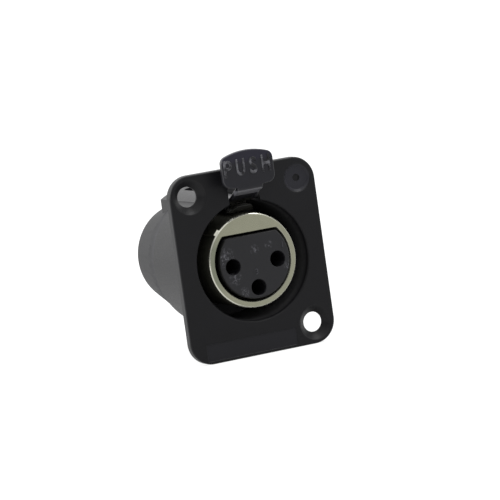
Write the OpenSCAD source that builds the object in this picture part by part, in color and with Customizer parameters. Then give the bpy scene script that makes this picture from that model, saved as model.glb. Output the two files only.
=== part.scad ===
// Three-pole XLR panel socket with a sprung push latch, made to be screwed to the front of a panel.
// The origin is the centre of the flange's rear face, on the axis of the socket.
// +Z is up, +Y runs back through the panel, and the open end of the socket faces -Y.

/* [Flange] */
// Width of the flange
flange_w = 26; // [25:0.5:30]
// Height of the flange
flange_h = 31; // [30.5:0.5:36]
// Thickness of the flange
flange_t = 1.5; // [1.2:0.1:2.5]
// Radius of the flange's corners
flange_corner_r = 3.8; // [2.5:0.1:4]
// Radius along the front edge of the flange
flange_edge_r = 0.35; // [0.1:0.05:0.6]

/* [Panel screws] */
// Distance of each panel screw from the socket's axis, sideways
screw_x = 9.5; // [9.3:0.1:10]
// Distance of each panel screw from the socket's axis, up or down
screw_z = 12; // [11.5:0.1:12.5]
// Diameter of the panel screw holes
screw_hole_d = 3.3; // [2.8:0.1:3.6]
// Diameter of the countersinks at the front face
screw_sink_d = 5.8; // [4.6:0.1:6]
// Straight length of each screw hole behind its countersink
screw_land_t = 0.3; // [0.2:0.05:0.6]
// Diameter of the blind countersink at the top right
blind_sink_d = 4.8; // [4:0.1:5.8]
// Depth of the blind countersink
blind_sink_t = 0.5; // [0.2:0.1:0.8]
// Distance of the blind countersink from the socket's axis, sideways
blind_x = 9.8; // [9.3:0.1:9.9]
// Diameter of the dimple at the middle of the blind countersink
blind_dimple_d = 1.2; // [0.6:0.1:2]

/* [Label field] */
// Width of the sunk field along the bottom of the flange
label_w = 16.2; // [8:0.2:17]
// Height of the sunk field
label_h = 2.8; // [1.5:0.1:3]
// Sideways place of the middle of the sunk field
label_x = -2.2; // [-2.4:0.1:0]
// Height of the middle of the sunk field
label_z = -13.6; // [-13.7:0.1:-12.6]
// Depth of the sunk field
label_t = 0.12; // [0.05:0.01:0.4]

/* [Barrel] */
// Outer diameter of the barrel behind the flange
barrel_d = 23.3; // [22.9:0.1:23.6]
// Length of the barrel behind the flange
barrel_l = 12.8; // [11.5:0.1:14]
// Diameter of the cavity that takes the plug's shell
cavity_d = 19.66; // [19.2:0.02:20]
// Thickness of the floor at the back of the cavity
floor_t = 1.2; // [0.8:0.1:2]
// Chamfer round the mouth of the cavity
mouth_chamfer = 0.25; // [0.1:0.05:0.5]

/* [Latch housing] */
// Width of the latch housing on top of the barrel
latch_box_w = 11.6; // [10.5:0.1:12.5]
// Diameter that the outside of the latch housing follows
latch_box_d = 23.7; // [23.7:0.1:24.2]
// Wall of the latch housing behind the retaining screw's axis
latch_box_back = 1.55; // [1.5:0.05:2.2]
// Height of the underside of the latch housing behind the barrel
latch_box_z = 6.6; // [6.2:0.1:7]
// Width of the slot that the latch works in
slot_w = 5.5; // [5:0.1:6]
// Clearance of the slot behind the tail of the latch
slot_gap = 0.2; // [0.1:0.05:0.3]
// Height of the slot's floor behind the barrel
slot_floor_z = 7.4; // [7.2:0.1:7.6]
// Height of the slot's floor where it crosses the cavity's floor
slot_sill_z = 8.15; // [7.95:0.05:8.3]
// Height of the top of the slot in the flange
notch_top_z = 14.2; // [13.6:0.1:14.4]

/* [Shield ring] */
// Outer diameter of the shield ring
ring_d = 15.5; // [15:0.1:15.6]
// Inner diameter of the shield ring
ring_bore_d = 13.2; // [12.8:0.1:13.6]
// Height of the flat inside the ring, above the axis
ring_flat_z = 4.7; // [4.2:0.1:5.2]
// Chamfer on the ring's front edges
ring_chamfer = 0.2; // [0.1:0.05:0.35]
// Angle of the keying rib on the ring, from the right-hand side
ring_rib_a = 136; // [110:1:160]
// Width of the keying rib
ring_rib_w = 1.1; // [0.6:0.1:2]
// Height of the keying rib above the ring
ring_rib_t = 0.35; // [0.2:0.05:0.6]

/* [Contact carrier] */
// Diameter of the carrier's nose at the front
nose_d = 12.46; // [11.8:0.02:12.7]
// Distance that the nose stands in front of the flange
nose_proud = 0.8; // [0.2:0.1:1.5]
// Length of the narrow front of the nose
nose_l = 5; // [3:0.1:6]
// Clearance of the carrier inside the ring
carrier_gap = 0.05; // [0.02:0.01:0.1]
// Gap between the flat of the nose and the flat of the ring at the front
nose_flat_gap = 0.4; // [0.2:0.05:0.6]
// Chamfer round the face of the nose
nose_chamfer = 0.2; // [0.1:0.05:0.4]
// Diameter of the collar at the back of the carrier
carrier_collar_d = 17; // [16.6:0.1:17.4]
// Thickness of that collar
carrier_collar_t = 1.2; // [0.8:0.1:1.6]

/* [Rear body] */
// Diameter of the rear body where it meets the barrel
rear_d = 21.4; // [20.8:0.1:22.4]
// Diameter of the rear body where its taper begins
rear_waist_d = 21; // [20.4:0.1:21.6]
// Length of the rear body in front of the taper
rear_straight_l = 4.5; // [3:0.1:6]
// Diameter of the rear body at its end
rear_end_d = 16.9; // [16.6:0.1:18]
// Length of the rear body
rear_l = 14.6; // [14:0.1:16]
// Diameter of the recess round the solder cups
recess_d = 14.2; // [13.8:0.1:14.6]
// Depth of the recess round the solder cups
recess_l = 6; // [4:0.1:6.5]
// Clearance of the rear body round the latch housing
box_gap = 0.05; // [0.02:0.01:0.1]

/* [Contacts] */
// Radius of the circle through the three contacts
contact_ring_r = 4; // [3.9:0.05:4.05]
// Distance of that circle's centre below the axis
contact_drop = 0.4; // [0.3:0.05:0.5]
// Diameter of the pin holes in the face of the nose
pin_hole_d = 2.65; // [2.5:0.05:2.8]
// Bore of each contact
contact_bore_d = 2.46; // [2.42:0.01:2.5]
// Outer diameter of each contact
contact_d = 3.4; // [3.2:0.1:3.5]
// Clearance between a contact and its bore in the carrier
contact_gap = 0.05; // [0.02:0.01:0.1]
// Distance of each contact's front end behind the narrow front of the nose
contact_setback = 0.1; // [0.05:0.05:0.5]
// Depth of the bore in each contact
contact_bore_l = 9.2; // [8.5:0.1:10]
// Length of the slots that split each contact
contact_slot_l = 7; // [5:0.1:8]
// Width of the slots that split each contact
contact_slot_w = 0.45; // [0.3:0.05:0.6]
// Diameter of the collar that holds each contact in the carrier
collar_d = 4.2; // [4:0.05:4.4]
// Length of the collar
collar_l = 1.8; // [1:0.1:2.5]
// Diameter of the solder cups
cup_d = 2.9; // [2.7:0.1:3]
// Bore of the solder cups
cup_bore_d = 2.1; // [1.8:0.1:2.2]
// Depth of the solder cups
cup_l = 5; // [4:0.1:5.5]
// Length of the side opening in each solder cup
cup_window_l = 3.4; // [2.5:0.1:4]
// Distance that the solder cups stand out behind the rear body
cup_proud = 3.1; // [1:0.1:5]

/* [Contact retainer] */
// Thickness of the retainer in the rear recess
retainer_t = 1.5; // [1:0.1:2.5]
// Clearance round the retainer and in its holes
retainer_gap = 0.05; // [0.02:0.01:0.1]

/* [Ground terminal] */
// Width of the ground terminal
ground_w = 2.4; // [2:0.1:2.4]
// Thickness of the ground terminal
ground_t = 0.5; // [0.3:0.05:0.6]
// Sideways place of the ground terminal
ground_x = 3.2; // [3:0.1:3.2]
// Height of the underside of the ground terminal
ground_z = 4.9; // [4.8:0.05:5]
// Height of the foot that bears on the shield ring
ground_foot_h = 1.4; // [1:0.1:1.5]
// Distance that the ground terminal stands out behind the rear body
ground_proud = 4; // [3:0.1:6]
// Diameter of the wire hole in the ground terminal
ground_hole_d = 1.4; // [1:0.1:1.6]

/* [Latch] */
// Width of the latch's arm
arm_w = 4.5; // [4:0.1:4.8]
// Height of the arm's underside
arm_z = 9.6; // [9.55:0.05:9.7]
// Thickness of the arm
arm_t = 0.7; // [0.6:0.05:0.8]
// Distance behind the flange at which the arm starts to rise to the tab
arm_bend_y = 0.6; // [0.4:0.1:1]
// Width of the push tab
tab_w = 9.2; // [8.6:0.1:11]
// Height of the tab's lower edge
tab_low_z = 12.4; // [12.2:0.1:12.6]
// Height of the crown of the tab
tab_top_z = 18.3; // [17.8:0.1:19]
// Thickness of the tab
tab_t = 0.9; // [0.8:0.1:1.2]
// Distance of the tab's face in front of the flange
tab_proud = 3.2; // [2.6:0.1:3.4]
// Radius of the arch along the top of the tab
tab_arch_r = 11; // [8:0.5:20]
// Radius of the tab's upper corners
tab_corner_r = 1.2; // [0.8:0.1:1.6]
// Radius of the tab's lower corners
tab_foot_r = 1.4; // [0.8:0.1:1.8]
// Height of the tip of the catch
catch_z = 7.95; // [7.85:0.05:8.1]
// Height of the top of the catch's rounded nose
catch_top_z = 9.4; // [9.2:0.1:9.5]
// Radius of the rounded nose of the catch
catch_r = 2.4; // [2.3:0.1:2.6]
// Distance of the catch's nose behind the flange's rear face
catch_y = -1.3; // [-1.4:0.1:0]
// Length of the catch
catch_l = 3.4; // [2.8:0.1:3.6]
// Length of the straight back of the catch
catch_back_l = 1.2; // [1:0.1:1.6]
// Width of the web that joins the catch to the arm
catch_web_w = 2.6; // [2:0.1:3.4]

/* [Latch pivot] */
// Distance of the pivot behind the barrel's end
pivot_back = 0.9; // [0.8:0.05:1]
// Height of the pivot
pivot_z = 9.2; // [9.15:0.05:9.25]
// Diameter of the pivot pin
pivot_d = 1.5; // [1.2:0.1:1.6]
// Radial running clearance between the latch and the pin
pivot_gap = 0.05; // [0.03:0.01:0.08]
// Radius of the hub round the pin
hub_r = 1.25; // [1.2:0.05:1.3]

/* [Latch spring] */
// Distance of the spring's axis behind the pivot
spring_back = 2.25; // [2.2:0.05:2.3]
// Outer diameter of the spring
spring_d = 1.7; // [1.5:0.05:1.7]
// Diameter of the spring wire
spring_wire_d = 0.28; // [0.2:0.02:0.3]
// Number of turns in the spring
spring_turns = 4; // [3:1:5]
// Clearance between the spring and its two seats
spring_gap = 0.02; // [0.01:0.01:0.1]

/* [Retaining screw] */
// Distance of the retaining screw behind the slot
fix_back = 1.55; // [1.5:0.05:1.6]
// Diameter of the screw's head
fix_head_d = 2.3; // [2:0.1:2.4]
// Thickness of the screw's head
fix_head_t = 0.9; // [0.6:0.1:1.2]
// Depth of the screw's head below the top of the latch housing
fix_sunk = 0.3; // [0.1:0.1:0.8]
// Diameter of the screw's shank
fix_d = 1.4; // [1.2:0.1:1.6]
// Height of the screw's tip
fix_tip_z = 3.4; // [3:0.1:5]

/* [Hidden] */
$fn = 96;
// Extra length that lets a cut run past a face
cut = 1;
// Centre of the three contacts as seen from the front: sideways and up
contact_at = [[contact_ring_r, -contact_drop],
              [-contact_ring_r, -contact_drop],
              [0, -contact_drop - contact_ring_r]];
// Distances in front of the flange's rear face (negative ones lie behind it)
front_z = flange_t;
nose_face = front_z + nose_proud;
pivot_y = barrel_l + pivot_back;
slot_l = pivot_y + spring_back + spring_d / 2 + slot_gap;
fix_y = slot_l + fix_back;
latch_box_l = fix_y + latch_box_back;
nose_step = nose_face - nose_l;
floor_face = -(barrel_l - floor_t);
barrel_end = -barrel_l;
collar_end = barrel_end - carrier_collar_t;
rear_end = barrel_end - rear_l;
recess_floor = rear_end + recess_l;
contact_front = nose_step - contact_setback;
collar_front = recess_floor + collar_l;
contact_bore_r = contact_d / 2 + contact_gap;
cup_end = rear_end - cup_proud;
ground_end = rear_end - ground_proud;

// Stands a shape drawn as seen from the front upright: x right, y up, z towards the front
module facing() {
    rotate([90, 0, 0]) children();
}

// Extrudes a side view, drawn with +Y to the right and +Z up, across the socket
module across(w) {
    rotate([90, 0, 90]) translate([0, 0, -w / 2]) linear_extrude(w) children();
}

// Cylinder between two distances along the socket's axis
module rod(r, from, to) {
    translate([0, 0, min(from, to)]) cylinder(r = r, h = abs(to - from));
}

// Box between two distances along the socket's axis
module slab(w, low, high, from, to) {
    translate([-w / 2, low, min(from, to)]) cube([w, high - low, abs(to - from)]);
}

// Section of a plate with its two front edges rounded
module plate_section(w, t, edge_r) {
    translate([-w / 2, 0]) square([w, t - edge_r]);
    translate([-w / 2 + edge_r, 0]) square([w - 2 * edge_r, t]);
    for (side = [-1, 1]) translate([side * (w / 2 - edge_r), t - edge_r]) circle(edge_r);
}

// Plate with round corners and a rounded front edge
module soft_plate(w, h, t, corner_r, edge_r) {
    translate([0, (h - 2 * corner_r) / 2, 0]) rotate([90, 0, 0])
        linear_extrude(h - 2 * corner_r) plate_section(w, t, edge_r);
    translate([-(w - 2 * corner_r) / 2, 0, 0]) rotate([90, 0, 90])
        linear_extrude(w - 2 * corner_r) plate_section(h, t, edge_r);
    for (sx = [-1, 1], sy = [-1, 1])
        translate([sx * (w / 2 - corner_r), sy * (h / 2 - corner_r), 0])
            rotate_extrude() intersection() {
                plate_section(2 * corner_r, t, edge_r);
                square([corner_r, t]);
            }
}

// Countersunk panel screw hole
module screw_hole() {
    rod(screw_hole_d / 2, -cut, front_z + cut);
    translate([0, 0, screw_land_t])
        cylinder(r1 = screw_hole_d / 2, r2 = screw_sink_d / 2, h = front_z - screw_land_t);
    rod(screw_sink_d / 2, front_z, front_z + cut);
}

// Countersink with a closed bottom, where a third screw could go
module blind_sink() {
    slope = (screw_sink_d - screw_hole_d) / 2 / (front_z - screw_land_t);
    translate([0, 0, front_z - blind_sink_t])
        cylinder(r1 = blind_sink_d / 2 - blind_sink_t * slope, r2 = blind_sink_d / 2, h = blind_sink_t);
    rod(blind_sink_d / 2, front_z, front_z + cut);
    rod(blind_dimple_d / 2, front_z - 1.4 * blind_sink_t, front_z);
}

// Slot that the latch lies in, open at the top and into the cavity
module latch_slot() {
    top = latch_box_d / 2 + cut;
    slab(slot_w, slot_sill_z, notch_top_z, front_z + cut, -cut / 4);
    slab(slot_w, slot_sill_z, top, 0, -slot_l);
    slab(slot_w, slot_floor_z, top, barrel_end, -slot_l);
}

// One casting: the flange, the barrel and the housing of the latch
module housing() {
    color("#2a2a2d") facing() difference() {
        union() {
            soft_plate(flange_w, flange_h, flange_t, flange_corner_r, flange_edge_r);
            rod(barrel_d / 2, 0, barrel_end);
            intersection() {
                rod(latch_box_d / 2, 0, -latch_box_l);
                slab(latch_box_w, latch_box_z, latch_box_d, 0, -latch_box_l);
            }
        }
        rod(cavity_d / 2, front_z + cut, floor_face);
        translate([0, 0, front_z - mouth_chamfer])
            cylinder(r1 = cavity_d / 2, r2 = cavity_d / 2 + mouth_chamfer, h = mouth_chamfer);
        rod(ring_d / 2, front_z, barrel_end - cut);
        ring_rib();
        translate([-screw_x, screw_z, 0]) screw_hole();
        translate([screw_x, -screw_z, 0]) screw_hole();
        translate([blind_x, screw_z, 0]) blind_sink();
        translate([label_x - label_w / 2, label_z - label_h / 2, front_z - label_t])
            cube([label_w, label_h, label_t + cut]);
        latch_slot();
        translate([0, pivot_z, -pivot_y]) rotate([0, 90, 0])
            cylinder(d = pivot_d, h = latch_box_w + cut, center = true);
        fix_hole(fix_d);
    }
}

// Rib on the outside of the ring that keys it in the housing
module ring_rib() {
    rotate([0, 0, ring_rib_a]) translate([ring_d / 2 - ring_rib_t, -ring_rib_w / 2, barrel_end])
        cube([2 * ring_rib_t, ring_rib_w, front_z - barrel_end]);
}

// Plated tube with a flat inside, which shields the contacts and guides the plug's shell
module shield_ring() {
    color("#a5a796") facing() difference() {
        union() {
            rotate_extrude() difference() {
                translate([0, barrel_end]) square([ring_d / 2, front_z - barrel_end]);
                translate([ring_d / 2, front_z]) rotate(45)
                    square(ring_chamfer * sqrt(2), center = true);
            }
            intersection() {
                ring_rib();
                rod(ring_d, barrel_end, front_z - ring_chamfer);
            }
        }
        intersection() {
            union() {
                rod(ring_bore_d / 2, front_z + cut, barrel_end - cut);
                translate([0, 0, front_z - ring_chamfer])
                    cylinder(r1 = ring_bore_d / 2, r2 = ring_bore_d / 2 + ring_chamfer, h = ring_chamfer);
            }
            slab(2 * ring_d, -ring_d, ring_flat_z, front_z + cut, barrel_end - cut);
        }
    }
}

// Outside of the moulded carrier: its nose, the body inside the ring and the collar behind it
module carrier_outside() {
    wide_r = ring_bore_d / 2 - carrier_gap;
    intersection() {
        rotate_extrude() polygon([
            [0, nose_face], [nose_d / 2 - nose_chamfer, nose_face], [nose_d / 2, nose_face - nose_chamfer],
            [nose_d / 2, nose_step], [wide_r, nose_step], [wide_r, barrel_end],
            [carrier_collar_d / 2, barrel_end], [carrier_collar_d / 2, collar_end], [0, collar_end]]);
        union() {
            slab(2 * nose_d, -nose_d, ring_flat_z - nose_flat_gap, nose_face, nose_step);
            slab(2 * nose_d, -nose_d, ring_flat_z - carrier_gap, nose_step, barrel_end);
            slab(2 * rear_d, -rear_d, rear_d, barrel_end, collar_end);
        }
    }
}

// Bores that the three contacts stand in
module contact_bores(from, to) {
    for (at = contact_at) translate([at[0], at[1], 0]) rod(contact_bore_r, from, to);
}

// Room round the part of the latch housing that stands out behind the barrel
module box_room() {
    slab(latch_box_w + 2 * box_gap, latch_box_z - box_gap, latch_box_d, barrel_end + cut,
         -latch_box_l - box_gap);
}

// Moulded insulator at the front: the face with the pin holes, and a collar that is clamped behind the barrel
module contact_carrier() {
    color("#2c2c30") facing() difference() {
        carrier_outside();
        for (at = contact_at) translate([at[0], at[1], 0]) rod(pin_hole_d / 2, nose_face + cut, nose_step);
        contact_bores(nose_step, collar_end - cut);
        box_room();
        ground_slot(box_gap);
        ground_foot_room();
    }
}

// Moulded rear body: holds the collars of the contacts, and tapers round their solder cups
module rear_body() {
    color("#303034") facing() difference() {
        rotate_extrude() polygon([
            [0, barrel_end], [rear_d / 2, barrel_end], [rear_waist_d / 2, barrel_end - rear_straight_l],
            [rear_end_d / 2, rear_end], [0, rear_end]]);
        rod(carrier_collar_d / 2 + box_gap, barrel_end + cut, collar_end);
        contact_bores(collar_end + cut, collar_front);
        for (at = contact_at) translate([at[0], at[1], 0])
            rod(collar_d / 2 + contact_gap, collar_front, recess_floor - cut);
        rod(recess_d / 2, recess_floor, rear_end - cut);
        box_room();
        ground_slot(box_gap);
        fix_hole(fix_d);
    }
}

// Room for the foot of the ground terminal
module ground_foot_room() {
    translate([ground_x - ground_w / 2 - box_gap, ground_z - box_gap, barrel_end - ground_t - box_gap])
        cube([ground_w + 2 * box_gap, ground_foot_h + 2 * box_gap, ground_t + box_gap + cut]);
}

// Path of the ground terminal through the carrier and the rear body
module ground_slot(gap) {
    translate([ground_x - ground_w / 2 - gap, ground_z - gap, rear_end])
        cube([ground_w + 2 * gap, ground_t + 2 * gap, barrel_end - rear_end]);
}

// Turned socket contact: split tube, collar and open solder cup
module contact(at) {
    color("#c9c3a8") facing() translate([at[0], at[1], 0]) difference() {
        rotate_extrude() polygon([
            [0, contact_front], [contact_d / 2, contact_front], [contact_d / 2, collar_front],
            [collar_d / 2, collar_front], [collar_d / 2, recess_floor], [cup_d / 2, recess_floor],
            [cup_d / 2, cup_end], [0, cup_end]]);
        rod(contact_bore_d / 2, contact_front + cut, contact_front - contact_bore_l);
        slab(contact_slot_w, -contact_d, contact_d, contact_front + cut, contact_front - contact_slot_l);
        rod(cup_bore_d / 2, cup_end - cut, cup_end + cup_l);
        slab(contact_d, 0, contact_d, cup_end - cut, cup_end + cup_window_l);
    }
}

// Disc in the rear recess that keeps the contacts in the carrier
module contact_retainer() {
    color("#35353a") facing() difference() {
        rod(recess_d / 2 - retainer_gap, recess_floor, recess_floor - retainer_t);
        for (at = contact_at) translate([at[0], at[1], 0])
            rod(cup_d / 2 + retainer_gap, recess_floor + cut, recess_floor - retainer_t - cut);
        ground_slot(retainer_gap);
    }
}

// Stamped strip from the back of the shield ring to a solder eye
module ground_terminal() {
    eye_r = ground_w / 2;
    color("#b9bbb4") facing() difference() {
        union() {
            translate([ground_x - eye_r, ground_z, ground_end + eye_r])
                cube([ground_w, ground_t, barrel_end - ground_end - eye_r]);
            translate([ground_x - eye_r, ground_z, barrel_end - ground_t])
                cube([ground_w, ground_foot_h, ground_t]);
            translate([ground_x, ground_z, ground_end + eye_r]) rotate([-90, 0, 0])
                cylinder(r = eye_r, h = ground_t);
        }
        translate([ground_x, ground_z - cut, ground_end + eye_r]) rotate([-90, 0, 0])
            cylinder(d = ground_hole_d, h = ground_t + 2 * cut);
    }
}

// Outline of the push tab: an arch on top, round corners below
module tab_outline() {
    half_w = tab_w / 2;
    arch_z = tab_top_z - tab_arch_r;
    corner_x = half_w - tab_corner_r;
    corner_z = arch_z + sqrt(pow(tab_arch_r - tab_corner_r, 2) - pow(corner_x, 2));
    foot_x = half_w - tab_foot_r;
    intersection() {
        translate([0, arch_z]) circle(tab_arch_r, $fn = 180);
        polygon([[0, arch_z], [-2 * corner_x, 2 * corner_z - arch_z], [2 * corner_x, 2 * corner_z - arch_z]]);
        translate([-half_w, tab_low_z]) square([tab_w, tab_top_z]);
    }
    for (side = [-1, 1]) {
        translate([side * corner_x, corner_z]) circle(tab_corner_r);
        translate([side * foot_x, tab_low_z + tab_foot_r]) circle(tab_foot_r);
    }
    translate([-half_w, tab_low_z + tab_foot_r]) square([tab_w, corner_z - tab_low_z - tab_foot_r]);
    translate([-foot_x, tab_low_z]) square([2 * foot_x, corner_z - tab_low_z]);
}

// Side view of the latch's arm, from the tab to the tail over the spring
module arm_outline() {
    tab_back = -(front_z + tab_proud - tab_t);
    tail_y = pivot_y + spring_back + spring_d / 2;
    polygon([[tab_back, tab_low_z - tab_t], [arm_bend_y, arm_z], [pivot_y, arm_z],
             [pivot_y, arm_z + arm_t], [arm_bend_y - arm_t / 2, arm_z + arm_t], [tab_back, tab_low_z]]);
    translate([pivot_y, arm_z + arm_t - hub_r / 2]) square([tail_y - pivot_y, hub_r / 2]);
    intersection() {
        translate([tab_back, tab_low_z]) circle(tab_t);
        translate([tab_back - tab_t, tab_low_z - tab_t]) square([tab_t, 2 * tab_t]);
    }
    translate([pivot_y, pivot_z]) circle(hub_r);
}

// Catch under the arm: a round nose with a ramp that the plug's shell lifts
module latch_catch() {
    catch_end = catch_y + catch_l;
    intersection() {
        facing() translate([0, catch_top_z - catch_r, 0]) rod(catch_r, -catch_y, -catch_end);
        across(2 * catch_r) polygon([
            [catch_y, catch_top_z], [catch_y, catch_top_z - arm_t / 2], [catch_end - catch_back_l, catch_z],
            [catch_end, catch_z], [catch_end, catch_top_z]]);
    }
    facing() slab(catch_web_w, catch_top_z - arm_t, arm_z + arm_t / 2, -(catch_end - catch_back_l), -catch_end);
}

// Sprung latch in one piece: push tab, arm, catch, hub and tail
module push_latch() {
    color("#2f2f32") difference() {
        union() {
            facing() translate([0, 0, front_z + tab_proud - tab_t]) linear_extrude(tab_t) tab_outline();
            across(arm_w) arm_outline();
            latch_catch();
        }
        translate([0, pivot_y, pivot_z]) rotate([0, 90, 0])
            cylinder(r = pivot_d / 2 + pivot_gap, h = arm_w + 2 * cut, center = true);
    }
}

// Pin that the latch turns on, pressed into the latch housing
module latch_pin() {
    color("#8d8f92") translate([0, pivot_y, pivot_z]) rotate([0, 90, 0])
        cylinder(d = pivot_d, h = latch_box_w, center = true);
}

// Compression spring under the latch's tail, drawn as touching turns on a tube of wire rings
module latch_spring() {
    low = slot_floor_z + spring_gap;
    high = arm_z + arm_t - hub_r / 2 - spring_gap;
    mean_r = (spring_d - spring_wire_d) / 2;
    pitch = (high - low - spring_wire_d) / spring_turns;
    steps = 14;
    sides = 8;
    count = spring_turns * steps;
    points = [for (i = [0:count], j = [0:sides - 1])
        let (a = 360 * i / steps, b = 360 * j / sides, r = mean_r + spring_wire_d / 2 * cos(b))
        [r * cos(a), r * sin(a), spring_wire_d / 2 + pitch * i / steps + spring_wire_d / 2 * sin(b)]];
    skin = [for (i = [0:count - 1], j = [0:sides - 1])
        let (k = (j + 1) % sides) [i * sides + j, i * sides + k, (i + 1) * sides + k, (i + 1) * sides + j]];
    start = [for (j = [sides - 1:-1:0]) j];
    end = [for (j = [0:sides - 1]) count * sides + j];
    color("#9a9c9e") translate([0, pivot_y + spring_back, low])
        polyhedron(points, concat(skin, [start], [end]));
}

// Hole for the retaining screw, down through the latch housing and into the carrier
module fix_hole(d) {
    top = latch_box_d / 2;
    translate([0, fix_tip_z, -fix_y]) rotate([-90, 0, 0]) cylinder(d = d, h = top);
    translate([0, top - fix_sunk - fix_head_t, -fix_y]) rotate([-90, 0, 0])
        cylinder(d = fix_head_d + 2 * box_gap, h = top);
}

// Screw that holds the carrier to the latch housing
module retaining_screw() {
    head_z = latch_box_d / 2 - fix_sunk - fix_head_t;
    color("#77797c") translate([0, fix_y, 0]) difference() {
        union() {
            translate([0, 0, fix_tip_z]) cylinder(d = fix_d, h = head_z - fix_tip_z);
            translate([0, 0, head_z]) cylinder(d = fix_head_d, h = fix_head_t);
        }
        for (turn = [0, 90]) translate([0, 0, head_z + fix_head_t]) rotate([0, 0, turn])
            cube([fix_head_d * 0.6, fix_head_d * 0.14, fix_head_t], center = true);
    }
}

housing();
shield_ring();
contact_carrier();
rear_body();
contact(contact_at[0]);  // contact_1
contact(contact_at[1]);  // contact_2
contact(contact_at[2]);  // contact_3
contact_retainer();
ground_terminal();
push_latch();
latch_pin();
latch_spring();
retaining_screw();
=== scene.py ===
import math
import bpy
from mathutils import Matrix, Vector


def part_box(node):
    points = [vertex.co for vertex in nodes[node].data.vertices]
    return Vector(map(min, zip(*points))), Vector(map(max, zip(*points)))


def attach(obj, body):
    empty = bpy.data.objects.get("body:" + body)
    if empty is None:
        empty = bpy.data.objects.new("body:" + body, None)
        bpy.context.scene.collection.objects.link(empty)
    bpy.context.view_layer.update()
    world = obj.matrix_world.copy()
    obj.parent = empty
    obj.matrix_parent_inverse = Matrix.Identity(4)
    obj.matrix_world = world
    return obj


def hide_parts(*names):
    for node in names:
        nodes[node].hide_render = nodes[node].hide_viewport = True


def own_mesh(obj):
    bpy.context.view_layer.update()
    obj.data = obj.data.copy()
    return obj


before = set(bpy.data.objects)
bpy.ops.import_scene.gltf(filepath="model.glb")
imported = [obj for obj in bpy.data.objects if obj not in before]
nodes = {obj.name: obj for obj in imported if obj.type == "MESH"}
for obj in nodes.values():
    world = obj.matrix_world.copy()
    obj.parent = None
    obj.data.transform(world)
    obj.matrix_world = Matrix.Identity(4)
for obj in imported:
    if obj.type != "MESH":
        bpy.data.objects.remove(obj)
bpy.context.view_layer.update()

mm = 0.001


def flat(hexColour):  # "#rrggbb" in sRGB to the linear values that a shader takes
    parts = [int(hexColour[i:i + 2], 16) / 255 for i in (1, 3, 5)]
    return [c / 12.92 if c <= 0.04045 else ((c + 0.055) / 1.055) ** 2.4 for c in parts] + [1]


def addNode(tree, kind, links=None, **settings):  # a link is a socket, anything else is a plain value
    made = tree.nodes.new(kind)
    for name, value in settings.items():
        setattr(made, name, value)
    for name, value in (links or {}).items():
        if isinstance(value, bpy.types.NodeSocket):
            tree.links.new(value, made.inputs[name])
        else:
            made.inputs[name].default_value = value
    return made


def startMaterial(name, **shaderValues):
    material = bpy.data.materials.new(name)
    material.use_nodes = True
    tree = material.node_tree
    shader = tree.nodes["Principled BSDF"]
    for key, value in shaderValues.items():
        shader.inputs[key.replace("_", " ")].default_value = value
    place = addNode(tree, "ShaderNodeTexCoord")
    inMm = addNode(tree, "ShaderNodeMapping", {
        "Vector": place.outputs["Object"], "Scale": (1 / mm, 1 / mm, 1 / mm)})
    return material, tree, shader, inMm.outputs["Vector"]


def deselect():
    for thing in bpy.context.selected_objects:
        thing.select_set(False)


def pickOnly(thing):
    deselect()
    thing.select_set(True)
    bpy.context.view_layer.objects.active = thing


deselect()

# camera: where the photograph was taken from
cameraSpot = {
    "target": (-0.32, -1.5, 1.76),  # mm, a point just off the socket's axis
    "distance": 552.4,  # mm
    "heading": 23.54,  # degrees to the left of straight on
    "height": 6.37,  # degrees above level
    "roll": 8.11,  # degrees clockwise
    "lens": 244.8,  # mm on a 36 mm sensor
}


def placeCamera():
    spot = cameraSpot
    heading, height = math.radians(spot["heading"]), math.radians(spot["height"])
    level = math.cos(height)
    back = Vector((-math.sin(heading) * level, -math.cos(heading) * level, math.sin(height)))
    data = bpy.data.cameras.new("photoCamera")
    data.lens = spot["lens"]
    data.sensor_width = 36
    data.clip_start, data.clip_end = 0.01, 10
    camera = bpy.data.objects.new("photoCamera", data)
    bpy.context.scene.collection.objects.link(camera)
    roll = Matrix.Rotation(math.radians(-spot["roll"]), 4, "Z").to_quaternion()
    camera.rotation_mode = "QUATERNION"
    camera.rotation_quaternion = (-back).to_track_quat("-Z", "Y") @ roll
    camera.location = (Vector(spot["target"]) + back * spot["distance"]) * mm
    bpy.context.scene.camera = camera


placeCamera()
print("camera placed")


# Materials


def distanceOut(tree, inMm):  # mm from the socket's axis
    flattened = addNode(tree, "ShaderNodeVectorMath", {0: inMm, 1: (1, 0, 1)}, operation="MULTIPLY")
    out = addNode(tree, "ShaderNodeVectorMath", {0: flattened.outputs["Vector"]}, operation="LENGTH")
    return out.outputs["Value"]


def depthShare(tree, inMm, start, end):  # 0 in front of the start and 1 behind the end, both depths in mm
    axes = addNode(tree, "ShaderNodeSeparateXYZ", {"Vector": inMm})
    share = addNode(tree, "ShaderNodeMapRange", {
        "Value": axes.outputs["Y"], "From Min": start, "From Max": end})
    return share.outputs["Result"]


def forwardShare(tree):  # 1 on a face that looks forwards or backwards, 0 on a side wall
    facing = addNode(tree, "ShaderNodeNewGeometry")
    axes = addNode(tree, "ShaderNodeSeparateXYZ", {"Vector": facing.outputs["Normal"]})
    return addNode(tree, "ShaderNodeMath", {0: axes.outputs["Y"]}, operation="ABSOLUTE").outputs[0]


def addRelief(tree, shader, height, deep, strength):  # a fine relief: its height, and its depth in mm
    relief = addNode(tree, "ShaderNodeBump", {"Height": height, "Distance": deep * mm, "Strength": strength})
    tree.links.new(relief.outputs["Normal"], shader.inputs["Normal"])


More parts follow.
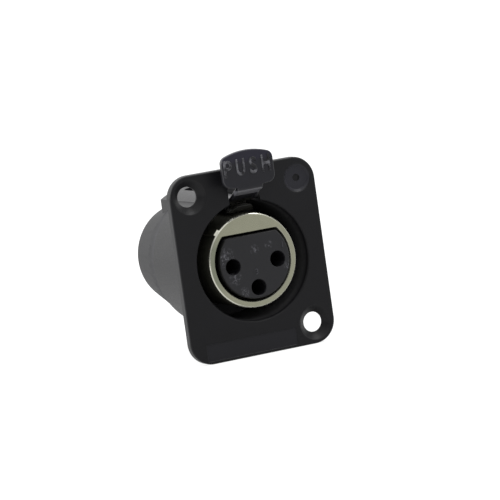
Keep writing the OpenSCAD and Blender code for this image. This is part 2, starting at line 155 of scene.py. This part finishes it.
blackCoatLook = {
    "low": "#151517", "high": "#1a1a1d",  # the coating is a little thicker in places
    "patch": 2.4, "contrast": (0.0, 1.0),  # mm across a patch, and how sharply one ends
    "grain": 0.22,  # mm, orange peel of the coating, drawn a little coarse so that it shows
    "bump": 0.006,  # mm high
    "rough": (0.34, 0.44),
    "shine": (0.19, 0.42),  # on broad faces that look forwards, and on edges and sides
    "broad": (0.97, 0.3),  # how much a face looks forwards for the first shine, and for the second
}


def makeBlackCoatedZinc(name, look, paleAndPaintedLightPlaces=(), hollow=None):
    # die-cast zinc under a satin black coating: dark from the front, a soft grey sheen on walls seen edge on
    material, tree, shader, inMm = startMaterial(name)
    handled = addNode(tree, "ShaderNodeMapRange", {
        "Value": forwardShare(tree), "From Min": look["broad"][0], "From Max": look["broad"][1],
        "To Min": look["shine"][0], "To Max": look["shine"][1]})
    shine = handled.outputs["Result"]
    patches = addNode(tree, "ShaderNodeTexNoise", {"Vector": inMm, "Scale": 1 / look["patch"], "Detail": 4})
    share = addNode(tree, "ShaderNodeMapRange", {
        "Value": patches.outputs["Fac"], "From Min": look["contrast"][0], "From Max": look["contrast"][1]})
    tone = addNode(tree, "ShaderNodeMix", {
        0: share.outputs["Result"], 6: flat(look["low"]), 7: flat(look["high"])}, data_type="RGBA")
    colour = tone.outputs[2]
    for middle, half, fade, pale in paleAndPaintedLightPlaces:  # mm: each place painted paler, some for the coating's own tone and some as painted light, and how softly that ends
        off = addNode(tree, "ShaderNodeVectorMath", {0: inMm, 1: middle}, operation="SUBTRACT")
        size = addNode(tree, "ShaderNodeVectorMath", {0: off.outputs["Vector"]}, operation="ABSOLUTE")
        past = addNode(tree, "ShaderNodeVectorMath", {0: size.outputs["Vector"], 1: half},
                       operation="SUBTRACT")
        axes = addNode(tree, "ShaderNodeSeparateXYZ", {"Vector": past.outputs["Vector"]})
        widest = addNode(tree, "ShaderNodeMath", {0: axes.outputs["X"], 1: axes.outputs["Y"]},
                         operation="MAXIMUM")
        worst = addNode(tree, "ShaderNodeMath", {0: widest.outputs[0], 1: axes.outputs["Z"]},
                        operation="MAXIMUM")
        inside = addNode(tree, "ShaderNodeMapRange", {
            "Value": worst.outputs[0], "From Min": -fade, "From Max": 0.0, "To Min": 1.0, "To Max": 0.0},
            interpolation_type="SMOOTHSTEP")
        paler = addNode(tree, "ShaderNodeMix", {0: inside.outputs["Result"], 6: colour, 7: flat(pale)},
                        data_type="RGBA")
        colour = paler.outputs[2]
    if hollow:  # in the cavity the shine dies and the colour is painted paler deep inside, a painted light: radius and mouth in mm, the painted colour deep inside, the shine
        radius, mouth, cavityPaintedTone, faint = hollow
        near = addNode(tree, "ShaderNodeMath", {0: distanceOut(tree, inMm), 1: radius},
                       operation="LESS_THAN")
        inside = addNode(tree, "ShaderNodeMath", {
            0: near.outputs[0], 1: depthShare(tree, inMm, mouth, mouth + 2.0)}, operation="MULTIPLY")
        cavityPaintedPale = addNode(tree, "ShaderNodeMix", {0: inside.outputs[0], 6: colour, 7: flat(cavityPaintedTone)},
                         data_type="RGBA")
        colour = cavityPaintedPale.outputs[2]
        dead = addNode(tree, "ShaderNodeMath", {
            0: near.outputs[0], 1: depthShare(tree, inMm, mouth - 0.3, mouth)}, operation="MULTIPLY")
        gleam = addNode(tree, "ShaderNodeMix", {0: dead.outputs[0], 2: shine, 3: faint})
        shine = gleam.outputs[0]
    tree.links.new(shine, shader.inputs["Specular IOR Level"])
    tree.links.new(colour, shader.inputs["Base Color"])
    grain = addNode(tree, "ShaderNodeTexNoise", {"Vector": inMm, "Scale": 1 / look["grain"], "Detail": 2})
    gloss = addNode(tree, "ShaderNodeMapRange", {
        "Value": grain.outputs["Fac"], "From Min": 0.3, "From Max": 0.7,
        "To Min": look["rough"][0], "To Max": look["rough"][1]})
    tree.links.new(gloss.outputs["Result"], shader.inputs["Roughness"])
    addRelief(tree, shader, grain.outputs["Fac"], look["bump"], 1.0)
    return material


nickelLook = {
    "low": "#8a8a78", "high": "#9e9e8b",  # satin front face
    "edge": "#c9c9bb",  # painted highlight: edges and walls that do not look forwards painted paler
    "leftShade": "#818474", "leftShadeAt": ((-7.2, -1.5, 0.2), 5.2),  # mm, painted shade: a duller, yellower place on the left
    "lines": 0.16,  # mm between turned lines, drawn coarse enough to show
    "bump": 0.0002,  # mm deep
    "rough": (0.22, 0.32),
    "front": -1.25, "behind": "#55554c", "recessed": 0.8,  # mm, and behind it the colour painted darker, a painted shade in the cavity, and its roughness
    "rimHighlight": (7.5, 7.66, "#e0e0d2"),  # mm from the axis: the outer edge painted pale, a painted highlight
}


def makeSatinNickel():
    # turned brass with satin nickel plate: warm pale grey, with fine lines round the axis
    look = nickelLook
    material, tree, shader, inMm = startMaterial("satinNickelPlate", Metallic=1.0)
    lines = addNode(tree, "ShaderNodeTexWave", {
        "Vector": inMm, "Scale": 0.5 / look["lines"], "Distortion": 0.4, "Detail": 1},
        wave_type="RINGS", rings_direction="Y")
    cloud = addNode(tree, "ShaderNodeTexNoise", {"Vector": inMm, "Scale": 0.7, "Detail": 3})
    clouded = addNode(tree, "ShaderNodeMix", {
        0: cloud.outputs["Fac"], 6: flat(look["low"]), 7: flat(look["high"])}, data_type="RGBA")
    edgeHighlightShare = addNode(tree, "ShaderNodeMapRange", {
        "Value": forwardShare(tree), "From Min": 0.97, "From Max": 0.85})
    edgeHighlighted = addNode(tree, "ShaderNodeMix", {
        0: edgeHighlightShare.outputs["Result"], 6: clouded.outputs[2], 7: flat(look["edge"])}, data_type="RGBA")
    middle, far = look["leftShadeAt"]
    off = addNode(tree, "ShaderNodeVectorMath", {0: inMm, 1: middle}, operation="DISTANCE")
    leftShadedShare = addNode(tree, "ShaderNodeMapRange", {
        "Value": off.outputs["Value"], "From Min": far * 0.5, "From Max": far,
        "To Min": 1.0, "To Max": 0.0})
    tone = addNode(tree, "ShaderNodeMix", {
        0: leftShadedShare.outputs["Result"], 6: edgeHighlighted.outputs[2], 7: flat(look["leftShade"])}, data_type="RGBA")
    start, full, bright = look["rimHighlight"]
    rimHighlight = addNode(tree, "ShaderNodeMapRange", {
        "Value": distanceOut(tree, inMm), "From Min": start, "From Max": full})
    rimHighlighted = addNode(tree, "ShaderNodeMix", {
        0: rimHighlight.outputs["Result"], 6: tone.outputs[2], 7: flat(bright)}, data_type="RGBA")
    behind = depthShare(tree, inMm, look["front"], look["front"] + 0.2)
    cavityPaintedTone = addNode(tree, "ShaderNodeMix", {0: behind, 6: rimHighlighted.outputs[2], 7: flat(look["behind"])},
                   data_type="RGBA")
    tree.links.new(cavityPaintedTone.outputs[2], shader.inputs["Base Color"])
    gloss = addNode(tree, "ShaderNodeMapRange", {
        "Value": cloud.outputs["Fac"], "From Min": 0.35, "From Max": 0.65,
        "To Min": look["rough"][0], "To Max": look["rough"][1]})
    rougher = addNode(tree, "ShaderNodeMix", {0: behind, 2: gloss.outputs["Result"], 3: look["recessed"]})
    tree.links.new(rougher.outputs[0], shader.inputs["Roughness"])
    addRelief(tree, shader, lines.outputs["Fac"], look["bump"], 0.8)
    return material


insulatorLook = {
    "low": "#19191c", "high": "#222226",
    "haze": "#707076",  # places that plugs have rubbed: the middle of each and its reach, in mm
    "hazeAt": (((-5.2, 0, 1.4), 1.9), ((-3.9, 0, -2.3), 1.3), ((-2.6, 0, -4.9), 1.1),
               ((0.1, 0, 1.8), 0.9), ((2.7, 0, 2.2), 0.8), ((5.5, 0, -1.7), 0.8)),
    "smear": 2.2, "patchy": (0.5, 0.64),  # to a mm, and how sharply a rubbed patch ends
    "face": (-2.27, 4.0, 5.9),  # mm: behind this depth, below this height and past this radius the sides are painted dark, a painted shade in the gap
    "recessed": "#0a0a0b",
    "fibre": 0.12,  # mm, glints of glass fibre at the surface
    "bump": 0.008,  # mm high
    "rough": 0.52,
    "shine": 0.36,
}


def makeGlassFilledPolyamide(name, look, rubbedAndGapShaded):
    # moulded polyamide with glass fibre: dull dark grey, finely speckled, paler where plugs have rubbed it
    material, tree, shader, inMm = startMaterial(
        name, Roughness=look["rough"], Specular_IOR_Level=look["shine"])
    speckle = addNode(tree, "ShaderNodeTexNoise", {
        "Vector": inMm, "Scale": 1 / look["fibre"], "Detail": 3, "Roughness": 0.65})
    tone = addNode(tree, "ShaderNodeMix", {
        0: speckle.outputs["Fac"], 6: flat(look["low"]), 7: flat(look["high"])}, data_type="RGBA")
    colour = tone.outputs[2]
    if "shoulderPaintedLight" in look:  # mm: between these depths the paler colour fades out; in front of them the body is painted paler, a painted highlight where it meets the barrel's end
        near, far, pale = look["shoulderPaintedLight"]
        shoulderPaintedLight = addNode(tree, "ShaderNodeMix", {
            0: depthShare(tree, inMm, near, far), 6: flat(pale), 7: colour}, data_type="RGBA")
        colour = shoulderPaintedLight.outputs[2]
    if rubbedAndGapShaded:
        strongest = None
        for middle, far in look["hazeAt"]:
            near = addNode(tree, "ShaderNodeVectorMath", {0: inMm, 1: middle}, operation="SUBTRACT")
            fade = addNode(tree, "ShaderNodeMapRange", {
                "Value": distanceOut(tree, near.outputs["Vector"]), "From Min": far * 0.4, "From Max": far,
                "To Min": 1.0, "To Max": 0.0})
            spot = fade.outputs["Result"]
            if strongest:
                both = addNode(tree, "ShaderNodeMath", {0: strongest, 1: spot}, operation="MAXIMUM")
                spot = both.outputs[0]
            strongest = spot
        smear = addNode(tree, "ShaderNodeTexNoise", {
            "Vector": inMm, "Scale": look["smear"], "Detail": 4, "Roughness": 0.7})
        patchy = addNode(tree, "ShaderNodeMapRange", {
            "Value": smear.outputs["Fac"], "From Min": look["patchy"][0], "From Max": look["patchy"][1]})
        amount = addNode(tree, "ShaderNodeMath", {0: strongest, 1: patchy.outputs["Result"]},
                         operation="MULTIPLY")
        worn = addNode(tree, "ShaderNodeMix", {0: amount.outputs[0], 6: colour, 7: flat(look["haze"])},
                       data_type="RGBA")
        depth, height, radius = look["face"]
        axes = addNode(tree, "ShaderNodeSeparateXYZ", {"Vector": inMm})
        below = addNode(tree, "ShaderNodeMath", {0: axes.outputs["Z"], 1: height}, operation="LESS_THAN")
        past = addNode(tree, "ShaderNodeMath", {0: distanceOut(tree, inMm), 1: radius},
                       operation="GREATER_THAN")
        onSides = addNode(tree, "ShaderNodeMath", {0: below.outputs[0], 1: past.outputs[0]},
                          operation="MULTIPLY")
        inGap = addNode(tree, "ShaderNodeMath", {
            0: depthShare(tree, inMm, depth, depth + 0.1), 1: onSides.outputs[0]}, operation="MULTIPLY")
        # painted shade: the sides of the nose in the gap painted near black
        gapShaded = addNode(tree, "ShaderNodeMix", {
            0: inGap.outputs[0], 6: worn.outputs[2], 7: flat(look["recessed"])}, data_type="RGBA")
        colour = gapShaded.outputs[2]
    tree.links.new(colour, shader.inputs["Base Color"])
    addRelief(tree, shader, speckle.outputs["Fac"], look["bump"], 0.8)
    return material


def makeBrightMetal(name, low, high, patch, rough, bump, paintedFrontShade=None):
    # plated or drawn metal: an even tone with slight clouding, and roughness that follows the clouds
    material, tree, shader, inMm = startMaterial(name, Metallic=1.0)
    cloud = addNode(tree, "ShaderNodeTexNoise", {"Vector": inMm, "Scale": 1 / patch, "Detail": 4})
    tone = addNode(tree, "ShaderNodeMix", {0: cloud.outputs["Fac"], 6: flat(low), 7: flat(high)},
                   data_type="RGBA")
    colour = tone.outputs[2]
    if paintedFrontShade:  # mm and colour: in front of this depth, inside the insulator's holes, the plating is painted dark, a painted shade
        depth, dark = paintedFrontShade
        frontShaded = addNode(tree, "ShaderNodeMix", {
            0: depthShare(tree, inMm, depth - 4, depth), 6: flat(dark), 7: colour}, data_type="RGBA")
        colour = frontShaded.outputs[2]
    tree.links.new(colour, shader.inputs["Base Color"])
    gloss = addNode(tree, "ShaderNodeMapRange", {
        "Value": cloud.outputs["Fac"], "From Min": 0.3, "From Max": 0.7,
        "To Min": rough * 0.8, "To Max": rough * 1.25})
    tree.links.new(gloss.outputs["Result"], shader.inputs["Roughness"])
    fine = addNode(tree, "ShaderNodeTexNoise", {"Vector": inMm, "Scale": 6 / patch, "Detail": 2})
    addRelief(tree, shader, fine.outputs["Fac"], bump, 0.7)
    return material


tabCoatLook = dict(blackCoatLook, low="#141418", high="#1f1f28", rough=(0.28, 0.4), grain=0.18,
                   shine=(0.3, 1.0))
# on the letters pale patches, partly wear from thumbs and partly painted highlights where their edges catch
# light
letterCoatLook = dict(tabCoatLook, low="#1b1b1f", high="#75757b", rough=(0.22, 0.34), patch=1.1,
                      contrast=(0.42, 0.62))
numberLook = dict(insulatorLook, low="#333338", high="#48484d")
# the rear body gets painted light near the barrel's end
rearLook = dict(insulatorLook, low="#151518", high="#1d1d20", rough=0.6, shine=0.5,
                shoulderPaintedLight=(13.6, 17.5, "#4a4a4e"))
retainerLook = dict(insulatorLook, low="#26262a", high="#303035", rough=0.48)

# places with another tone, some of them painted light: the middle and half size in mm, how softly it ends in
# mm, and the colour
labelField = ((-2.2, -1.38, -13.6), (8.2, 0.1, 1.5), 0.12, "#232327")  # the bare sunk field
blindSink = ((9.6, -1.12, 12.0), (2.6, 0.3, 2.6), 0.12, "#303036")  # the countersink that has no hole
topRightPaintedLight = ((9.0, -1.5, 13.5), (7.5, 1.0, 7.5), 6.0, "#242428")  # painted light: the top right of the flange painted paler, where more light falls
latchBendPaintedLight = ((0, -3.9, 11.25), (2.5, 1.4, 0.65), 0.12, "#77777d")  # painted highlight: the bend under the tab painted pale, where it catches light
tabTopPaintedReflection = ((0, -4.6, 18.3), (5.2, 1.0, 2.4), 2.2, "#2b2840")  # painted reflection: a violet tint on the top of the tab
cavityPaintedLight = (10.1, -1.2, "#58585a", 0.0)  # painted light deep in the cavity: radius and mouth in mm, colour, shine
# painted light on the catch and arm deep in the cavity: radius and mouth in mm, colour, shine
catchPaintedLight = (10.1, -2.4, "#3e3e3a", 0.1)

coatedZinc = makeBlackCoatedZinc("satinBlackCoatOnDieCastZinc", blackCoatLook,
                                 (topRightPaintedLight, labelField, blindSink), cavityPaintedLight)
coatedLatch = makeBlackCoatedZinc("satinBlackCoatOnCastLatch", tabCoatLook, (tabTopPaintedReflection, latchBendPaintedLight), catchPaintedLight)
letterWearAndPaintedGlints = makeBlackCoatedZinc("blackCoatThumbWornWithPaintedGlints", letterCoatLook)
satinNickel = makeSatinNickel()
carrierPlastic = makeGlassFilledPolyamide("glassFilledPolyamideRubbedAndGapShaded", insulatorLook, True)
numberPlastic = makeGlassFilledPolyamide("glassFilledPolyamideNumbers", numberLook, False)
rearPlastic = makeGlassFilledPolyamide("glassFilledPolyamideRear", rearLook, False)
retainerPlastic = makeGlassFilledPolyamide("glassFilledPolyamide", retainerLook, False)
# the contacts' fronts, deep in the holes, get painted shade
silverPlate = makeBrightMetal("silverPlateOnTurnedBrass", "#b9b6a6", "#d3d0c2", 0.9, 0.24, 0.002,
                              paintedFrontShade=(19, "#1c1a17"))
tinPlate = makeBrightMetal("hotTinOnStampedBrass", "#a6a79f", "#c2c3bd", 1.3, 0.34, 0.006)
groundSteel = makeBrightMetal("groundSteelPin", "#8f9093", "#a9aaad", 0.7, 0.22, 0.001)
springWire = makeBrightMetal("drawnSpringSteelWire", "#84868a", "#9fa1a4", 0.4, 0.3, 0.001)
zincPlate = makeBrightMetal("brightZincPlateOnSteelScrew", "#93959b", "#b1b3b8", 0.6, 0.28, 0.002)
print("materials made")


# Pieces that take the shape of a CAD node, with the small edge radius of the real one added

edgeRadii = {  # node: body, slot, radius of its edges in mm, material
    "housing": ("socket", "housing", 0.055, coatedZinc),
    "shield_ring": ("socket", "ring", 0.05, satinNickel),
    "contact_carrier": ("socket", "insulator", 0.08, carrierPlastic),
    "rear_body": ("socket", "rear", 0.15, rearPlastic),
    "contact_1": ("socket", "contact", 0.06, silverPlate),
    "contact_2": ("socket", "contact", 0.06, silverPlate),
    "contact_3": ("socket", "contact", 0.06, silverPlate),
    "contact_retainer": ("socket", "retainer", 0.08, retainerPlastic),
    "ground_terminal": ("socket", "terminal", 0.05, tinPlate),
    "push_latch": ("latch", "latch", 0.18, coatedLatch),
    "latch_pin": ("socket", "pin", 0.12, groundSteel),
    "retaining_screw": ("socket", "screw", 0.08, zincPlate),
}


edgeWork = {
    "flat": 0.4,  # degrees: facets that meet flatter than this become one face
    "smooth": 32, "smoothRear": 9,  # degrees: edges flatter than this are shaded smooth
    "sharp": 36,  # degrees: edges sharper than this are rounded
    "segments": 2,
    "merge": 0.002, "tiny": 0.001,  # mm
    "free": ("push_latch", "housing", "shield_ring"),  # rounded in full, also beside short edges
}


def softenEdges(name):
    body, slotName, radius, material = edgeRadii[name]
    mesh = nodes[name].data.copy()
    mesh.materials.clear()
    mesh.materials.append(material)
    piece = bpy.data.objects.new(name + "_finished", mesh)
    bpy.context.scene.collection.objects.link(piece)
    pickOnly(piece)
    bpy.ops.object.mode_set(mode="EDIT")
    bpy.ops.mesh.select_all(action="SELECT")
    bpy.ops.mesh.remove_doubles(threshold=edgeWork["merge"] * mm)
    bpy.ops.mesh.dissolve_limited(angle_limit=math.radians(edgeWork["flat"]))
    bpy.ops.object.mode_set(mode="OBJECT")
    smooth = edgeWork["smoothRear"] if name == "rear_body" else edgeWork["smooth"]
    bpy.ops.object.shade_smooth_by_angle(angle=math.radians(smooth))
    rounding = piece.modifiers.new("edges", "BEVEL")
    rounding.width = radius * mm
    rounding.segments = edgeWork["segments"]
    rounding.limit_method = "ANGLE"
    rounding.angle_limit = math.radians(edgeWork["sharp"])
    rounding.use_clamp_overlap = name not in edgeWork["free"]
    bpy.ops.object.modifier_apply(modifier=rounding.name)
    bpy.ops.object.mode_set(mode="EDIT")  # where two roundings run into each other, their corners become one
    bpy.ops.mesh.select_all(action="SELECT")
    bpy.ops.mesh.remove_doubles(threshold=edgeWork["merge"] * mm)
    bpy.ops.mesh.dissolve_degenerate(threshold=edgeWork["tiny"] * mm)
    bpy.ops.object.mode_set(mode="OBJECT")
    evening = piece.modifiers.new("normals", "WEIGHTED_NORMAL")  # keeps broad faces flat beside round edges
    evening.weight = 100
    evening.keep_sharp = True
    bpy.ops.object.modifier_apply(modifier=evening.name)
    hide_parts(name)
    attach(piece, body)
    return piece


for name in edgeRadii:
    piece = softenEdges(name)
    print(name, "finished with", len(piece.data.polygons), "faces")


# Raised lettering: the generic word on the push tab and the plain numbers of the contacts

tabLetters = {
    "height": 2.75, "pitch": 2.25, "middle": (-0.2, 15.65), "proud": 0.17, "sunk": 0.13,  # mm
    "round": 0.052, "bold": -0.03,  # of the letter's size
    "widen": {"P": 0.83, "U": 0.66, "S": 0.82, "H": 0.64},
}
contactNumbers = {
    "height": 0.95, "proud": 0.07, "sunk": 0.05, "round": 0.015,
    # mm from the axis, both as seen from the front, so the ones on the back are mirrored to read
    "front": {"1": (5.15, 1.75), "2": (-5.0, 1.75), "3": (0.0, -1.8)},
    "back": {"1": (1.95, -2.6), "2": (-1.95, -2.6), "3": (0.0, -6.3)}, "backHeight": 1.1,
}


signWork = {"extrude": 0.004, "steps": 2, "smooth": 30}  # of the letter's size, round its edge, degrees


def raisedSign(name, text, look, at, faceY, body, material, fromBack=False, widen=1.0):
    deselect()
    bpy.ops.object.text_add(location=(0, 0, 0))
    sign = bpy.context.object
    sign.data.body = text
    sign.data.align_x, sign.data.align_y = "CENTER", "CENTER"
    sign.data.extrude = signWork["extrude"]
    sign.data.offset = look.get("bold", 0.0)
    sign.data.bevel_depth = look["round"]
    sign.data.bevel_resolution = signWork["steps"]
    bpy.ops.object.convert(target="MESH")
    sign.name = name
    corners = [vertex.co for vertex in sign.data.vertices]
    low = [min(c[i] for c in corners) for i in range(3)]
    high = [max(c[i] for c in corners) for i in range(3)]
    scale = look["height"] / (high[1] - low[1])
    out = 1 if fromBack else -1
    for vertex in sign.data.vertices:
        across = (vertex.co.x - (low[0] + high[0]) / 2) * scale * widen
        up = (vertex.co.y - (low[1] + high[1]) / 2) * scale
        deep = (vertex.co.z - low[2]) / (high[2] - low[2])  # 0 at the foot, 1 at the top of the letter
        x = at[0] - across if fromBack else at[0] + across
        depth = deep * (look["proud"] + look["sunk"]) - look["sunk"]
        vertex.co = Vector((x, faceY + out * depth, at[1] + up)) * mm
    pickOnly(sign)
    bpy.ops.object.mode_set(mode="EDIT")
    bpy.ops.mesh.select_all(action="SELECT")
    bpy.ops.mesh.normals_make_consistent(inside=False)
    bpy.ops.object.mode_set(mode="OBJECT")
    bpy.ops.object.shade_smooth_by_angle(angle=math.radians(signWork["smooth"]))
    sign.data.materials.clear()
    sign.data.materials.append(material)
    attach(sign, body)
    return sign


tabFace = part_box("push_latch")[0].y / mm
for index, letter in enumerate("PUSH"):
    x = tabLetters["middle"][0] + (index - 1.5) * tabLetters["pitch"]
    raisedSign("tab_letter_" + letter, letter, tabLetters, (x, tabLetters["middle"][1]), tabFace,
               "latch", letterWearAndPaintedGlints, widen=tabLetters["widen"][letter])
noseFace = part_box("contact_carrier")[0].y / mm
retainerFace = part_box("contact_retainer")[1].y / mm
for digit, at in contactNumbers["front"].items():
    raisedSign("front_number_" + digit, digit, contactNumbers, at, noseFace, "socket",
               numberPlastic)
backNumbers = dict(contactNumbers, height=contactNumbers["backHeight"])
for digit, at in contactNumbers["back"].items():
    raisedSign("back_number_" + digit, digit, backNumbers, at, retainerFace, "socket",
               retainerPlastic, fromBack=True)
print("lettering raised")


# Spring under the tail of the latch: a smooth coil in the place of the CAD one

coil = {
    "turns": 4, "wire": 0.28, "outside": 1.7,  # mm
    "closed": 1.02,  # rise of an end turn, in wires
    "keep": 0.876,  # share of its height that is left when the latch is pressed
    "steps": 40, "sides": 12, "smooth": 50,
}


def windSpring():
    low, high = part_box("latch_spring")
    centre = (low + high) / 2
    radius = (coil["outside"] - coil["wire"]) / 2 * mm
    wire = coil["wire"] / 2 * mm
    pitch = (high.z - low.z - 2 * wire) / coil["turns"]
    deselect()
    bpy.ops.mesh.primitive_circle_add(vertices=coil["sides"], radius=wire,
                                      location=(centre.x, centre.y, low.z + wire))
    spring = bpy.context.object
    spring.name = "latch_spring_wound"
    for vertex in spring.data.vertices:  # the wire's section, stood up where the coil starts
        vertex.co = Vector((radius + vertex.co.x, 0, vertex.co.y))
    winding = spring.modifiers.new("winding", "SCREW")
    winding.axis = "Z"
    winding.angle = 2 * math.pi
    winding.iterations = coil["turns"]
    winding.screw_offset = pitch
    winding.steps = winding.render_steps = coil["steps"]
    bpy.ops.object.modifier_apply(modifier=winding.name)
    for vertex in spring.data.vertices:  # the end turns lie closed, and the rest of the rise is in between
        share = (math.atan2(vertex.co.y, vertex.co.x) / (2 * math.pi)) % 1
        turn = share + round(vertex.co.z / pitch - share)
        turn = min(max(turn, 0), coil["turns"])
        closed = coil["wire"] * coil["closed"] * mm
        free = (pitch * coil["turns"] - 2 * closed) / (coil["turns"] - 2)
        lift = closed * min(turn, 1) + free * min(max(turn - 1, 0), coil["turns"] - 2)
        lift += closed * max(turn - coil["turns"] + 1, 0)
        vertex.co.z += lift - pitch * turn
    bpy.ops.object.mode_set(mode="EDIT")
    bpy.ops.mesh.select_all(action="SELECT")
    bpy.ops.mesh.remove_doubles(threshold=0.001 * mm)
    bpy.ops.mesh.select_all(action="SELECT")
    bpy.ops.mesh.fill_holes(sides=0)
    bpy.ops.mesh.select_all(action="SELECT")
    bpy.ops.mesh.normals_make_consistent(inside=False)
    bpy.ops.object.mode_set(mode="OBJECT")
    bpy.ops.object.transform_apply(location=True, rotation=True, scale=True)
    bpy.ops.object.shade_smooth_by_angle(angle=math.radians(coil["smooth"]))
    spring.data.materials.append(springWire)
    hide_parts("latch_spring")
    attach(spring, "socket")
    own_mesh(spring)


windSpring()
print("spring wound")


# Floor, world and lamps

# the paper's colour, its glow in the picture, and its glow in mirrors
floorLook = {"colour": "#9c9c9c", "glow": 0.8, "mirrored": 0.5, "rough": 0.9, "size": 6}
deselect()
bpy.ops.mesh.primitive_plane_add(size=floorLook["size"], location=(0, 0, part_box("housing")[0].z))
floor = bpy.context.object
floor.name = "paleFloor"
paper = bpy.data.materials.new("matWhitePaper")
paper.use_nodes = True
tree = paper.node_tree
shader = tree.nodes["Principled BSDF"]
shader.inputs["Base Color"].default_value = flat(floorLook["colour"])
shader.inputs["Roughness"].default_value = floorLook["rough"]
shader.inputs["Specular IOR Level"].default_value = 0.0
rays = addNode(tree, "ShaderNodeLightPath")
direct = addNode(tree, "ShaderNodeMath", {
    0: rays.outputs["Is Camera Ray"], 1: rays.outputs["Is Transmission Ray"]}, operation="MAXIMUM")
seen = addNode(tree, "ShaderNodeMath", {0: direct.outputs[0], 1: floorLook["glow"]}, operation="MULTIPLY")
glow = addNode(tree, "ShaderNodeMath", {
    0: rays.outputs["Is Glossy Ray"], 1: floorLook["mirrored"], 2: seen.outputs[0]}, operation="MULTIPLY_ADD")
shader.inputs["Emission Color"].default_value = (1, 1, 1, 1)
tree.links.new(glow.outputs[0], shader.inputs["Emission Strength"])
floor.data.materials.append(paper)

# the room: white behind the object, above it and to its right, and dimmer where the photographer stands
room = {
    "bright": 1.12, "dim": 0.3, "towards": (0.55, 0.65, 0.5),
    "between": (-0.85, 0.2),  # how far a direction leans that way, where the dim ends and the bright begins
}
world = bpy.data.worlds.new("paleStudio")
bpy.context.scene.world = world
world.use_nodes = True
tree = world.node_tree
ray = addNode(tree, "ShaderNodeTexCoord")
along = addNode(tree, "ShaderNodeVectorMath", {0: ray.outputs["Generated"], 1: room["towards"]},
                operation="DOT_PRODUCT")
level = addNode(tree, "ShaderNodeMapRange", {
    "Value": along.outputs["Value"], "From Min": room["between"][0], "From Max": room["between"][1],
    "To Min": room["dim"], "To Max": room["bright"]}, interpolation_type="SMOOTHSTEP")
tree.links.new(level.outputs["Result"], tree.nodes["Background"].inputs["Strength"])
tree.nodes["Background"].inputs["Color"].default_value = (1, 1, 1, 1)

softLights = {  # mm: where each stands and its size, and its power in watts
    "leftSoftbox": {"at": (-700, 120, 300), "size": 450, "watts": 2.8},
    "topSoftbox": {"at": (400, -100, 850), "size": 450, "watts": 2.2},
}
for name, light in softLights.items():
    data = bpy.data.lights.new(name, "AREA")
    data.shape = "SQUARE"
    data.size = light["size"] * mm
    data.energy = light["watts"]
    lamp = bpy.data.objects.new(name, data)
    bpy.context.scene.collection.objects.link(lamp)
    lamp.location = Vector(light["at"]) * mm
    lamp.rotation_euler = (-Vector(light["at"])).to_track_quat("-Z", "Y").to_euler()

bpy.context.scene.view_settings.view_transform = "Standard"
print("studio lit")

bpy.context.view_layer.update()
